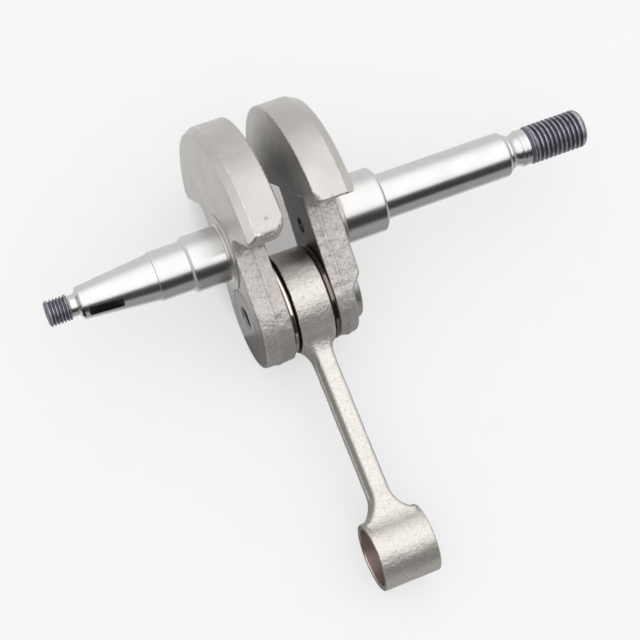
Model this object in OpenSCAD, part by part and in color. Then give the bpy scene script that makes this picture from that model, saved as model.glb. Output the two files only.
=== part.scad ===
// Built-up crankshaft of a single-cylinder two-stroke engine: two forged
// halves pressed onto a hollow crank pin, a one-piece connecting rod on a
// caged needle bearing, and a hardened thrust washer on each side of the rod.
// Axes: X runs along the main journals, towards the power take-off end. The
// shaft lies on its side, as on a bench, with +Z up. The origin is on the
// crank axis at the bearing shoulder of the power take-off journal.

/* [Crank] */
// Distance between the crank axis and the pin axis (half the stroke)
throw = 20.75; // [20:0.25:21.5]
// Radius of the counterweights
weight_r = 37.5; // [37:0.25:39]
// Thickness of a counterweight
weight_t = 11.9; // [11.5:0.1:13]
// Gap between the two counterweights
weight_gap = 10; // [9.8:0.1:10.8]
// Radius of the round web end about the crank pin
web_end_r = 16.2; // [15.5:0.1:17]
// Radius of the smaller web end on the power take-off half
pto_web_end_r = 14.6; // [14:0.1:16]
// Half width of a web beside its main journal
web_neck_w = 12.9; // [12:0.1:14]
// How far the web faces beside the rod are cut back behind the counterweights
web_relief = 2.4; // [2:0.1:3]
// Angle from a counterweight's middle to the upper end of its rim
weight_end_upper = 75; // [70:0.5:80]
// Angle from a counterweight's middle to the lower end of its rim
weight_end_lower = 66.5; // [62:0.5:74]

/* [Power take-off end] */
// Diameter of the power take-off main journal
pto_journal_d = 20; // [18:0.5:21]
// Length of the power take-off main journal
pto_journal_l = 14; // [12:0.5:16]
// Height of the bearing shoulder on the power take-off web
pto_boss_h = 1.3; // [0.8:0.1:1.6]
// Diameter of the plain cylinder that carries the clutch drum
pto_cylinder_d = 14; // [12:0.5:15]
// Length of the plain cylinder
pto_cylinder_l = 42.4; // [36:0.2:46]
// Outer diameter of the power take-off thread
pto_thread_d = 12; // [11:0.5:12.5]
// Pitch of the power take-off thread
pto_thread_pitch = 1.5; // [1.25:0.25:1.75]
// Number of thread turns at the power take-off end
pto_thread_turns = 11; // [8:1:13]

/* [Flywheel end] */
// Diameter of the flywheel-side main journal
fly_journal_d = 17; // [15:0.5:18]
// Length of the flywheel-side main journal
fly_journal_l = 11.6; // [10:0.1:13]
// Diameter of the seal step beside the journal
fly_step_d = 15; // [14.6:0.1:15.4]
// Length of the seal step
fly_step_l = 10; // [8:0.2:12]
// Diameter of the taper at its large end
taper_d1 = 14.2; // [14:0.1:14.4]
// Diameter of the taper at its small end
taper_d2 = 9.9; // [9.4:0.1:10.4]
// Length of the taper
taper_l = 23; // [20:0.2:26]
// Outer diameter of the flywheel nut thread
fly_thread_d = 8; // [8:0.5:9]
// Pitch of the flywheel nut thread
fly_thread_pitch = 1; // [0.8:0.05:1.25]
// Number of thread turns at the flywheel end
fly_thread_turns = 6; // [5:1:8]

// Height of the bearing shoulder on the flywheel-side web
fly_boss_h = 0.5; // [0.5:0.1:1.2]

/* [Keyway] */
// Width of the key slot in the taper
key_w = 3; // [2.5:0.1:3.2]
// Radius of the disc cutter that makes the key slot
key_cutter_r = 8; // [6.5:0.5:9]
// Depth of the slot below the taper at its middle
key_depth = 1.9; // [1.6:0.1:2.6]
// Direction of the slot about the crank axis, from the throw
key_angle = -57; // [-180:1:180]

/* [Crank pin] */
// Diameter of the crank pin
pin_d = 18; // [17:0.5:18.5]
// Diameter of the hole through the pin
pin_hole_d = 6.6; // [6:0.1:7.5]

/* [Connecting rod] */
// Distance between the two eye centres
rod_l = 78.5; // [74:0.5:84]
// Outer radius of the big end
big_end_r = 15.2; // [15:0.1:16]
// How far the rod has floated along the pin from the middle of the webs
rod_float = 0.1; // [0:0.05:0.25]
// Width of the big end along the pin
big_end_w = 10.8; // [9:0.1:11]
// Bore diameter of the small end
small_bore_d = 17.5; // [16:0.5:18]
// Outer radius of the small end
small_end_r = 10.2; // [10.1:0.05:11]
// Width of the small end along its bore
small_end_w = 17.6; // [16:0.1:19]
// Width of the shank, seen along the pin
shank_depth = 11; // [9:0.5:11.5]
// Thickness of the shank, along the pin
shank_w = 5.4; // [5:0.2:6.4]
// Depth of the long hollow in each side of the shank
shank_groove = 0.9; // [0.6:0.1:1.5]

/* [Big-end bearing] */
// Diameter of one needle
needle_d = 3; // [2.5:0.1:3]
// Length of one needle
needle_l = 7.4; // [6:0.1:7.6]
// Thickness of a thrust washer
washer_t = 1.5; // [0.8:0.1:1.6]
// Outer diameter of a thrust washer
washer_d = 29; // [27:0.5:30]

/* [Hidden] */
$fn = 96;

// Colours of the parts
steel_dull = [0.62, 0.61, 0.59];
steel_bright = [0.75, 0.75, 0.74];
rod_steel = [0.70, 0.67, 0.61];
cage_steel = [0.55, 0.50, 0.44];

// Stations along X, from the power take-off shoulder at 0
pto_face = -pto_boss_h;
pto_weight_in = pto_face - weight_t;
fly_weight_in = pto_weight_in - weight_gap;
fly_face = fly_weight_in - weight_t;
fly_shoulder = fly_face - fly_boss_h;
rod_mid = (pto_weight_in + fly_weight_in) / 2 + rod_float;
neck_t = weight_t - web_relief;
pto_neck_in = pto_face - neck_t;
fly_neck_in = fly_face + neck_t;

// Webs
boss_r = 11.6;
rim_bevel_x = 2.6;
rim_bevel_r = 1.4;
rim_break = 0.5;
web_fillet = [7, 4];
centre_drill_r = 2.4;
pin_seat_r = 10.8;
pin_seat_depth = 3.4;
pin_seat_sink = 0.6;

// Running clearances
bearing_gap = 0.03;
washer_gap = 0.05;

// The ends of a rim: the upper end, and the lower end that lies on the bench
upper_end = [-weight_r * cos(weight_end_upper), -weight_r * sin(weight_end_upper)];
lower_end = [-weight_r * cos(weight_end_lower), weight_r * sin(weight_end_lower)];

// Where the straight chord between the rim's ends crosses a station across it
function chord_u(v) =
    upper_end[0] + (lower_end[0] - upper_end[0])
    * (v - upper_end[1]) / (lower_end[1] - upper_end[1]);

// Corner between the chord and the neck on the side of a rim's end
function neck_corner(end) =
    let (v = sign(end[1]) * web_neck_w) [chord_u(v), v];

// The webs lie on the rim's lower end and on the flywheel web's round end: the
// angle between the throw and straight down follows from both touching
reach = [throw - lower_end[0], lower_end[1]];
throw_from_down = acos(-web_end_r / norm(reach)) - atan2(reach[1], reach[0]);
lie = 270 - throw_from_down;
bench_z = -(throw * cos(throw_from_down) + web_end_r);
pin_y = throw * cos(lie);
pin_z = throw * sin(lie);
// The rod hangs from the pin until its small end touches the same bench
rod_drop = asin((pin_z - bench_z - small_end_r) / rod_l);
rod_angle = 180 + rod_drop;

// Crank pin bearing
needle_count = 14;
needle_r = needle_d / 2 - bearing_gap / 2;
needle_ring_r = pin_d / 2 + bearing_gap + needle_r;
big_bore_r = needle_ring_r + needle_r + bearing_gap;
cage_half_w = needle_l / 2 + 0.8;
cage_r_in = needle_ring_r - 0.85;
cage_r_out = needle_ring_r + 0.95;

// A turned shape about the X axis from [radius, x] points
module turned(points) {
    rotate([0, 90, 0]) rotate_extrude() polygon(points);
}

// A flat outline in the Y-Z plane, extruded from x0 to x1
module slab(x0, x1) {
    translate([x0, 0, 0]) rotate([90, 0, 90]) linear_extrude(x1 - x0) children();
}

// An outline in the X-Y plane, extruded through the full width along Z
module side_cut(half_w) {
    translate([0, 0, -half_w]) linear_extrude(2 * half_w) children();
}

// Turns a part from its own frame, with the throw along +Y, into place
module lying() {
    rotate([lie, 0, 0]) children();
}

module at_pin() {
    translate([0, pin_y, pin_z]) children();
}

// Points of an arc about c, from angle a0 to a1
function arc(c, r, a0, a1, n = 12) =
    [for (i = [0:n]) let (a = a0 + (a1 - a0) * i / n) c + r * [cos(a), sin(a)]];

// Where the line from p touches a circle about c on its left side
function touch(p, c, r) =
    let (v = p - c, a = atan2(v[1], v[0]) - acos(r / norm(v)))
    c + r * [cos(a), sin(a)];

// Points of a thread's grooves from x0, running along X in the sense of dir
function thread_points(x0, pitch, turns, r, dir) =
    let (depth = 0.55 * pitch)
    [for (i = [0:turns - 1], q = [0:3])
        let (x = x0 + dir * pitch * (i + [0, 0.12, 0.5, 0.62][q]))
        [q < 2 ? r : r - depth, x]];

// Outline that rounds the inside corner at p, between its edges' directions
// a and b, and sinks into both
module inner_round(p, a, b, r) {
    half = (b - a) / 2;
    c = p + r / sin(half) * [cos(a + half), sin(a + half)];
    polygon(concat([p - [1, 1]], arc(c, r, a - 90, b - 270)));
}

// Outline of a web's neck and round end; the throw is along +X of the outline
module neck_outline(end_r) {
    w = web_neck_w;
    root = chord_u(w) - 3;
    tip = touch([0, w], [throw, 0], end_r);
    translate([throw, 0]) circle(end_r);
    polygon([[root, -w], [0, -w], [tip[0], -tip[1]], [throw, 0],
        tip, [0, w], [root, w]]);
    corner_fillet(upper_end, web_fillet[0]);
    corner_fillet(lower_end, web_fillet[1]);
}

// Fillet between a counterweight's end and the neck, on one side
module corner_fillet(end, r) {
    corner = neck_corner(end);
    v = abs(corner[1]);
    mirror([0, end[1] < 0 ? 1 : 0])
        inner_round([corner[0], v], 0, atan2(abs(end[1]) - v, end[0] - corner[0]), r);
}

// Region of a web that the counterweight fills: one straight chord bounds it,
// drawn on past both ends of the rim
module weight_region() {
    far = 55;
    past = 10 * (upper_end - lower_end) / norm(upper_end - lower_end);
    upper = upper_end + past;
    lower = lower_end - past;
    polygon([[-far, upper[1]], upper, lower, [-far, lower[1]]]);
}

// A web with x = 0 on its outer face and +X towards the rod
module web(end_r) {
    intersection() {
        turned([[0, 0], [weight_r - rim_bevel_r, 0], [weight_r, rim_bevel_x],
            [weight_r, weight_t - rim_break], [weight_r - rim_break, weight_t],
            [0, weight_t]]);
        slab(-1, weight_t + 1) weight_region();
    }
    slab(0, neck_t) neck_outline(end_r);
}

// Hole that the crank pin is pressed into
module pin_hole(x0, x1) {
    translate([x0, throw, 0]) rotate([0, 90, 0]) cylinder(h = x1 - x0, d = pin_d);
}

// Centre drilling about the crank axis: a short bore with a 60 degree mouth
module centre_drill(x, dir, r, depth) {
    turned(dir > 0 ? [[0, x + depth + r], [r, x + depth], [r, x - 1], [0, x - 1]]
        : [[0, x + 1], [r, x + 1], [r, x - depth], [0, x - depth - r]]);
}

// Taper radius at a station along X
function taper_r(x) =
    let (x1 = fly_shoulder - fly_journal_l - fly_step_l)
    (taper_d1 + (taper_d2 - taper_d1) * (x1 - x) / taper_l) / 2;

// Flywheel-side forging: web, journal, seal step, keyed taper and thread
module flywheel_half() {
    journal_end = fly_shoulder - fly_journal_l;
    step_end = journal_end - fly_step_l;
    taper_end = step_end - taper_l;
    thread_start = taper_end - 3;
    thread_end = thread_start - fly_thread_pitch * fly_thread_turns;
    r_thread = fly_thread_d / 2 - 0.07;
    r_neck = 3.25;
    slot_x = taper_end + 6.4;
    color(steel_dull) lying() difference() {
        union() {
            translate([fly_face, 0, 0]) web(web_end_r);
            turned(concat([[0, fly_neck_in - 1], [boss_r, fly_neck_in - 1],
                [boss_r, fly_shoulder + 0.15], [boss_r - 0.15, fly_shoulder],
                [fly_journal_d / 2, fly_shoulder],
                [fly_journal_d / 2, journal_end + 0.5],
                [fly_journal_d / 2 - 0.5, journal_end],
                [fly_step_d / 2, journal_end], [fly_step_d / 2, step_end],
                [taper_d1 / 2, step_end], [taper_d2 / 2, taper_end + 0.2],
                [taper_d2 / 2 - 0.3, taper_end], [r_neck + 0.5, taper_end],
                [r_neck, taper_end - 0.6], [r_neck, thread_start]],
                thread_points(thread_start, fly_thread_pitch, fly_thread_turns,
                    r_thread, -1),
                [[r_thread, thread_end], [r_thread - 0.6, thread_end - 0.6],
                [0, thread_end - 0.6]]));
        }
        pin_hole(fly_face - 1, fly_weight_in + 1);
        rotate([key_angle, 0, 0])
            translate([slot_x, taper_r(slot_x) + key_cutter_r - key_depth, -key_w / 2])
            cylinder(h = key_w, r = key_cutter_r);
        centre_drill(fly_neck_in, -1, centre_drill_r, 4);
        centre_drill(thread_end - 0.6, 1, 1.2, 2.5);
    }
}

// Power take-off forging: web, journal, plain cylinder and thread
module pto_half() {
    cylinder_end = pto_journal_l + pto_cylinder_l;
    ring_start = cylinder_end + 5.4;
    thread_start = cylinder_end + 8;
    thread_end = thread_start + pto_thread_pitch * pto_thread_turns;
    r_journal = pto_journal_d / 2;
    r_cyl = pto_cylinder_d / 2;
    r_thread = pto_thread_d / 2 - 0.08;
    r_waist = 4.9;
    recess = [16.5, 21];
    color(steel_dull) lying() difference() {
        union() {
            difference() {
                translate([pto_face, 0, 0]) mirror([1, 0, 0]) web(pto_web_end_r);
                side_cut(30) polygon([[pto_face + 1, recess[0] - 1],
                    [pto_face - pin_seat_depth, recess[1]],
                    [pto_face - pin_seat_depth, 60], [pto_face + 1, 60]]);
            }
            translate([0, throw, 0]) turned([[0, pto_neck_in + 1],
                [pin_seat_r, pto_neck_in + 1],
                [pin_seat_r, pto_face - pin_seat_sink - 0.8],
                [pin_seat_r - 0.8, pto_face - pin_seat_sink],
                [0, pto_face - pin_seat_sink]]);
            turned(concat([[0, pto_neck_in + 1], [boss_r, pto_neck_in + 1],
                [boss_r, -0.15], [boss_r - 0.15, 0], [r_journal, 0],
                [r_journal, pto_journal_l - 0.7],
                [r_journal - 0.7, pto_journal_l], [r_cyl, pto_journal_l],
                [r_cyl, cylinder_end - 0.9], [r_cyl - 0.7, cylinder_end],
                [r_waist + 0.8, cylinder_end]],
                arc([r_waist + 2.7, cylinder_end + 2.7], 2.7, 225, 135, 8),
                [[r_waist + 0.8, ring_start], [r_thread - 0.5, ring_start],
                [r_thread - 0.3, ring_start + 0.3],
                [r_thread - 0.3, thread_start - 0.5]],
                thread_points(thread_start, pto_thread_pitch, pto_thread_turns,
                    r_thread, 1),
                arc([r_thread - 1.6, thread_end], 1.6, 0, 80, 6),
                [[0, thread_end + 1.6]]));
        }
        pin_hole(pto_weight_in - 1, pto_face + 1);
        centre_drill(pto_neck_in, 1, centre_drill_r, 4);
        centre_drill(thread_end + 1.6, -1, 1.6, 3.5);
    }
}

// Hollow crank pin with a bevelled mouth at each end
module crank_pin() {
    x0 = fly_face;
    x1 = pto_face - pin_seat_sink;
    r = pin_d / 2;
    h = pin_hole_d / 2;
    bevel = 0.7;
    color(steel_bright) lying() translate([0, throw, 0])
        turned([[h + bevel, x0], [r - 0.3, x0], [r, x0 + 0.3], [r, x1 - 0.3],
            [r - 0.3, x1], [h + bevel, x1], [h, x1 - bevel], [h, x0 + bevel]]);
}

// Outline of the shank seen along the pin, with its blends into both eyes;
// the small end is along +X of it
module shank_plan() {
    half = shank_depth / 2;
    blend = 9;
    sink = 0.1;
    r_big = big_end_r - sink + blend;
    r_small = small_end_r - sink + blend;
    a_big = asin((half + blend) / r_big);
    a_small = asin((half + blend) / r_small);
    upper = concat(arc([r_big * cos(a_big), half + blend], blend, 180 + a_big, 270),
        arc([rod_l - r_small * cos(a_small), half + blend], blend, 270, 360 - a_small));
    polygon(concat([[big_bore_r - 1, 3]], upper, [[rod_l, 3], [rod_l, -3]],
        [for (i = [len(upper) - 1:-1:0]) [upper[i][0], -upper[i][1]]],
        [[big_bore_r - 1, -3]]));
}

// Half outline of the shank seen edge on: its thickness along the pin
function shank_side() =
    let (s = shank_w / 2, b = big_end_w / 2, e = small_end_w / 2,
        r1 = 9, r2 = 9,
        u1 = 20, a1 = acos(1 - (b - s) / r1),
        u2 = rod_l - 9.2, a2 = acos(1 - (e - 0.9 - s) / r2))
    concat([[b, -20]], arc([s + r1, u1], r1, 180 + a1, 180),
        arc([s + r2, u2 - r2 * sin(a2)], r2, 180, 180 - a2),
        [[e - 0.9, rod_l + 30]]);

// One side's long hollow in the shank
module shank_hollow() {
    half = shank_depth / 2 - 1.7;
    u0 = big_end_r + 5.5;
    u1 = rod_l - small_end_r - 6.5;
    translate([u0, -half]) square([u1 - u0, 2 * half]);
    for (u = [u0, u1]) translate([u, 0]) circle(half);
}

// One-piece forged rod with a plain bore at each end
module connecting_rod() {
    side = shank_side();
    color(rod_steel) translate([rod_mid, 0, 0]) at_pin() rotate([rod_angle, 0, 0])
        difference() {
            union() {
                translate([-big_end_w / 2, 0, 0]) rotate([0, 90, 0])
                    cylinder(h = big_end_w, r = big_end_r);
                intersection() {
                    slab(-small_end_w, small_end_w) shank_plan();
                    side_cut(20) polygon(concat(side,
                        [for (i = [len(side) - 1:-1:0]) [-side[i][0], side[i][1]]]));
                }
                translate([0, rod_l, 0]) turned([[0, -small_end_w / 2],
                    [small_end_r - 0.4, -small_end_w / 2],
                    [small_end_r, -small_end_w / 2 + 0.4],
                    [small_end_r, small_end_w / 2 - 0.4],
                    [small_end_r - 0.4, small_end_w / 2], [0, small_end_w / 2]]);
            }
            translate([-big_end_w, 0, 0]) rotate([0, 90, 0])
                cylinder(h = 2 * big_end_w, r = big_bore_r);
            translate([-small_end_w, rod_l, 0]) rotate([0, 90, 0])
                cylinder(h = 2 * small_end_w, d = small_bore_d);
            slab(shank_w / 2 - shank_groove, shank_w) shank_hollow();
            slab(-shank_w, -shank_w / 2 + shank_groove) shank_hollow();
        }
}

// Ring with one pocket for each needle
module needle_cage() {
    color(cage_steel) translate([rod_mid, 0, 0]) at_pin() difference() {
        turned([[cage_r_in, -cage_half_w], [cage_r_out, -cage_half_w],
            [cage_r_out, cage_half_w], [cage_r_in, cage_half_w]]);
        for (i = [1:needle_count]) rotate([360 * i / needle_count, 0, 0])
            translate([-needle_l / 2 - 0.1, needle_ring_r, 0]) rotate([0, 90, 0])
            cylinder(h = needle_l + 0.2, r = needle_r + bearing_gap);
    }
}

// One needle, with small bevels at its ends
module needle(i) {
    h = needle_l / 2;
    bevel = 0.25;
    color(steel_bright) translate([rod_mid, 0, 0]) at_pin()
        rotate([360 * i / needle_count, 0, 0]) translate([0, needle_ring_r, 0])
        turned([[0, -h], [needle_r - bevel, -h], [needle_r, -h + bevel],
            [needle_r, h - bevel], [needle_r - bevel, h], [0, h]]);
}

// Hardened washer beside the big end
module thrust_washer(x) {
    r0 = pin_d / 2 + washer_gap;
    r1 = washer_d / 2;
    edge = 0.15;
    color(steel_bright) translate([x, 0, 0]) at_pin()
        turned([[r0, 0], [r1 - edge, 0], [r1, edge], [r1, washer_t - edge],
            [r1 - edge, washer_t], [r0, washer_t]]);
}

module thrust_washer_flywheel() {
    thrust_washer(fly_neck_in + 0.15);
}

module thrust_washer_pto() {
    thrust_washer(pto_neck_in - 0.15 - washer_t);
}

flywheel_half();
pto_half();
crank_pin();
connecting_rod();
needle_cage();
thrust_washer_flywheel();
thrust_washer_pto();
needle(1);  // needle_01
needle(2);  // needle_02
needle(3);  // needle_03
needle(4);  // needle_04
needle(5);  // needle_05
needle(6);  // needle_06
needle(7);  // needle_07
needle(8);  // needle_08
needle(9);  // needle_09
needle(10);  // needle_10
needle(11);  // needle_11
needle(12);  // needle_12
needle(13);  // needle_13
needle(14);  // needle_14
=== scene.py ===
# Built-up crankshaft with its connecting rod, lying on a pale studio floor.
# The two forged halves and the rod are remade here as finer meshes on the same
# driving dimensions as the CAD model; the pin, bearing and washers stay as CAD
# nodes with their own materials. Lengths are in millimetres until a mesh is
# stored, and the frame's metres are turned into millimetres where it is read.
import math
from dataclasses import dataclass

import bpy
import numpy as np
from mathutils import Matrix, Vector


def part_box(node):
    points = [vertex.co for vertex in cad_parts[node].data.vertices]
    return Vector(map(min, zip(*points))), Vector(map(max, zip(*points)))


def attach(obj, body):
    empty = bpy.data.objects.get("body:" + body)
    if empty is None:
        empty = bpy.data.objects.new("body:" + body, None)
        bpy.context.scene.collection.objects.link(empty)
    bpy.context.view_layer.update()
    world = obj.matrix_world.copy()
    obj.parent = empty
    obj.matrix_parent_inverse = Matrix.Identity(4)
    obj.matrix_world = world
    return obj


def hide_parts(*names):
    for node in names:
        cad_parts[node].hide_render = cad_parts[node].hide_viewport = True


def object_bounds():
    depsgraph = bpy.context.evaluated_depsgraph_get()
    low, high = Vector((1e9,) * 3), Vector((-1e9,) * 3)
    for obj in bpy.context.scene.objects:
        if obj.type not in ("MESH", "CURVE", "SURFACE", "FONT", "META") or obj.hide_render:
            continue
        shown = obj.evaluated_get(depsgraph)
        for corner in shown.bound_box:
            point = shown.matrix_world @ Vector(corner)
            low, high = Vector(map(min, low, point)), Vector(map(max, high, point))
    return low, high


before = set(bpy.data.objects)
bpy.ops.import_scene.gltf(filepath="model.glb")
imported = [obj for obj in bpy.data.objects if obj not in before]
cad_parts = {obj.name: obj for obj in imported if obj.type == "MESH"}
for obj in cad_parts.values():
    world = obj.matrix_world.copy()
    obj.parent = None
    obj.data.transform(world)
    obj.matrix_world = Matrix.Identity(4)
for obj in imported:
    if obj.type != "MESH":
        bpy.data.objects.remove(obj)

cad_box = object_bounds()
MM = 0.001

# Webs, as in the CAD model: counterweights, neck and the rim's two ends
WEIGHT_R = 37.5
WEIGHT_T = 11.9
WEIGHT_GAP = 10.0
WEB_RELIEF = 2.4
NECK_T = WEIGHT_T - WEB_RELIEF
NECK_W = 12.9
END_UPPER = math.radians(75)
END_LOWER = math.radians(66.5)

# The rim's outer bevel and its broken inner edge, and fillets beside the neck
RIM_BEVEL_X = 2.6
RIM_BEVEL_R = 1.4
RIM_BREAK = 0.35
# Radius where the turned rim runs out into the forging
RIM_OUT_R = WEIGHT_R - 0.27
UPPER_FILLET, LOWER_FILLET = 7.0, 4.0
STEP_FILLET = 1.2

# Bosses round the journal and the pin, and the fine gap that outlines the pin
BOSS_R = 11.6
PIN_BOSS_R, PIN_BOSS_DEPTH = 10.8, 0.6
PIN_R = 9.0
PIN_OUTLINE = 0.12

# Centre drilling of the webs' inner faces
CENTRE_DRILL_R, CENTRE_DRILL_DEPTH = 2.4, 4.0

# Shaft stations along X, from the power take-off shoulder at 0
PTO_BOSS = 1.3
PTO_JOURNAL_R, PTO_JOURNAL_L = 10.0, 14.0
PTO_CYLINDER_R, PTO_CYLINDER_L = 7.0, 42.4
PTO_WAIST_L, PTO_WAIST_R = 5.4, 4.9
PTO_THREAD_FROM_END = 8.0
FLY_BOSS = 0.5
FLY_JOURNAL_R, FLY_JOURNAL_L = 8.5, 11.6
FLY_STEP_R, FLY_STEP_L = 7.5, 10.0
TAPER_R1, TAPER_R2, TAPER_L = 7.1, 4.95, 23.0
FLY_THREAD_FROM_END = 3.0

# Key slot. Its angle is about the crank axis, from the throw
KEY_W, KEY_CUTTER_R, KEY_DEPTH, KEY_FROM_END = 3.0, 8.0, 1.9, 6.4
KEY_ANGLE = math.radians(-57)

PTO_FACE = -PTO_BOSS
FLY_FACE = PTO_FACE - 2 * WEIGHT_T - WEIGHT_GAP
FLY_SHOULDER = FLY_FACE - FLY_BOSS
CYLINDER_END = PTO_JOURNAL_L + PTO_CYLINDER_L
TAPER_END = FLY_SHOULDER - FLY_JOURNAL_L - FLY_STEP_L - TAPER_L

# Connecting rod: outer radius, half width and bore of both eyes, then the
# shank's half width, half thickness and groove, and what blends it into the eyes
BIG_R, BIG_HALF, BIG_BORE = 15.2, 5.4, 12.03
SMALL_R, SMALL_HALF, SMALL_BORE = 10.2, 8.8, 8.75
SHANK_T, SHANK_X = 5.5, 2.7
SHANK_GROOVE, GROOVE_HALF = 0.9, 3.4
EYE_BLEND_R = 9.0
FLARE_HALF = SMALL_HALF - 0.9


def middle(node):
    """Middle of a CAD node's box, in millimetres."""
    low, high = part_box(node)
    return (np.array(low) + np.array(high)) / 2 / MM


# Where the CAD nodes lie: the pin, the throw's angle and the rod's
PIN = middle("crank_pin")
THROW = math.hypot(PIN[1], PIN[2])
LIE = math.atan2(PIN[2], PIN[1])
ROD_LOW = np.array(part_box("connecting_rod")[0]) / MM
SMALL_END = ROD_LOW[1:] + SMALL_R
ROD_L = math.hypot(*(SMALL_END - PIN[1:]))
ROD_ANGLE = math.atan2(SMALL_END[1] - PIN[2], SMALL_END[0] - PIN[1])
ROD_X = middle("connecting_rod")[0]
BENCH = cad_box[0][2]


# ---- Mesh tools ----------------------------------------------------------

def turned(rows, angle):
    """Points or directions turned about the X axis."""
    c, s = math.cos(angle), math.sin(angle)
    x, y, z = rows.T
    return np.stack([x, c * y - s * z, s * y + c * z], 1)


def store(name, points, faces, materials, turn=0.0, origin=(0.0, 0.0, 0.0)):
    """Object from points in millimetres, turned about X and moved to origin."""
    placed = turned(np.asarray(points, float), turn) + np.array(origin)
    mesh = bpy.data.meshes.new(name)
    mesh.from_pydata((placed * MM).tolist(), [], faces)
    for m in materials:
        mesh.materials.append(m)
    mesh.shade_smooth()
    obj = bpy.data.objects.new(name, mesh)
    bpy.context.scene.collection.objects.link(obj)
    return obj


def smooth_step(t):
    """0 below t = 0 and 1 above t = 1, with an even start and end between."""
    t = np.clip(t, 0, 1)
    return t * t * (3 - 2 * t)


def round_union(a, b, r):
    """Two fields joined, with a fillet of radius r in the corner."""
    return np.maximum(r, np.minimum(a, b)) - np.hypot(np.maximum(r - a, 0), np.maximum(r - b, 0))


def round_cut(a, b, r):
    """What two fields share, with the edge rounded to radius r."""
    return np.minimum(-r, np.maximum(a, b)) + np.hypot(np.maximum(r + a, 0), np.maximum(r + b, 0))


def wobble(x, y, z, size, seed, waves=18):
    """Smooth seeded noise with bumps of about that size, mostly within +-1.5."""
    rng = np.random.default_rng(seed)
    k = rng.normal(size=(waves, 3))
    k *= (2 * math.pi / size * rng.uniform(0.5, 1.5, waves) / np.linalg.norm(k, axis=1))[:, None]
    phase = rng.uniform(0, 2 * math.pi, waves)
    total = sum(np.sin(k[i, 0] * x + k[i, 1] * y + k[i, 2] * z + phase[i]) for i in range(waves))
    return total * math.sqrt(2 / waves)


def gradient(field, p, h=0.02):
    """Gradient of a field at points p, by central differences."""
    columns = []
    for axis in range(3):
        d = np.zeros(3)
        d[axis] = h
        columns.append((field(*(p + d).T) - field(*(p - d).T)) / (2 * h))
    return np.stack(columns, 1)


# The eight corners of a grid cell
CORNERS = [(i, j, k) for i in (0, 1) for j in (0, 1) for k in (0, 1)]


def cell_points(values, cells, axes):
    """Average of the surface's crossings along the edges of each mixed cell."""
    total = np.zeros((len(cells), 3))
    count = np.zeros(len(cells))
    for a in CORNERS:
        for axis in range(3):
            if a[axis]:
                continue
            b = tuple(a[i] + (i == axis) for i in range(3))
            fa = values[tuple((cells + a).T)]
            fb = values[tuple((cells + b).T)]
            crossing = (fa < 0) != (fb < 0)
            t = np.where(crossing, fa / np.where(crossing, fa - fb, 1), 0)
            spot = cells + a + t[:, None] * np.eye(3)[axis]
            total[crossing] += spot[crossing]
            count += crossing
    grid = total / count[:, None]
    starts = np.array([a[0] for a in axes])
    return starts + grid * (axes[0][1] - axes[0][0])


def cell_quads(inside, index):
    """A quad round each grid edge that crosses the surface, facing outwards.
    index holds the number of every mixed cell's point."""
    faces = []
    for axis in range(3):
        near = np.take(inside, range(inside.shape[axis] - 1), axis)
        far = np.take(inside, range(1, inside.shape[axis]), axis)
        edges = np.argwhere(near != far)
        u, v = [i for i in range(3) if i != axis]
        edges = edges[(edges[:, u] > 0) & (edges[:, v] > 0)]
        du, dv = np.eye(3, dtype=int)[u], np.eye(3, dtype=int)[v]
        quad = np.stack([index[tuple((edges - s).T)] for s in (du + dv, dv, 0 * dv, du)], 1)
        flip = near[tuple(edges.T)] ^ (axis == 1)
        quad[~flip] = quad[~flip][:, ::-1]
        faces.append(quad)
    return np.concatenate(faces)


def surface(field, low, high, step):
    """Closed quad mesh where the field is zero: one point for each mixed cell."""
    axes = [np.arange(a - 2 * step, b + 2 * step, step) for a, b in zip(low, high)]
    values = field(*np.meshgrid(*axes, indexing="ij"))
    inside = values < 0
    nx, ny, nz = (n - 1 for n in inside.shape)
    count = sum(inside[i:nx + i, j:ny + j, k:nz + k].astype(np.int8) for i, j, k in CORNERS)
    cells = np.argwhere((count > 0) & (count < 8))
    index = np.full(count.shape, -1)
    index[tuple(cells.T)] = np.arange(len(cells))
    return cell_points(values, cells, axes), cell_quads(inside, index)


def field_object(name, field, rough, low, high, step, materials, turn, origin=(0, 0, 0)):
    """Object on a field's surface, with the rough field's relief on top of it.
    Every point is moved onto the surface, and the normals are the field's own."""
    points, faces = surface(field, low, high, step)

    def relief(x, u, v):
        return field(x, u, v) - rough(x, u, v)

    for _ in range(4):
        g = gradient(relief, points)
        size2 = np.maximum((g * g).sum(1), 0.2)
        move = -(relief(*points.T) / size2)[:, None] * g
        points = points + np.clip(move, -0.6 * step, 0.6 * step)
    obj = store(name, points, faces.tolist(), materials, turn, origin)
    g = gradient(relief, points)
    g /= np.linalg.norm(g, axis=1)[:, None]
    obj.data.normals_split_custom_set_from_vertices(turned(g, turn).tolist())
    return obj, points


def paint(obj, name, values):
    """Stores one number per point for a material to read."""
    attribute = obj.data.attributes.new(name, "FLOAT", "POINT")
    attribute.data.foreach_set("value", np.asarray(values, np.float32))


def triples(elements, name):
    """A property of three numbers, read from every point or face."""
    values = np.zeros(len(elements) * 3)
    elements.foreach_get(name, values)
    return values.reshape(-1, 3)


# ---- Turned shafts -------------------------------------------------------

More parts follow.
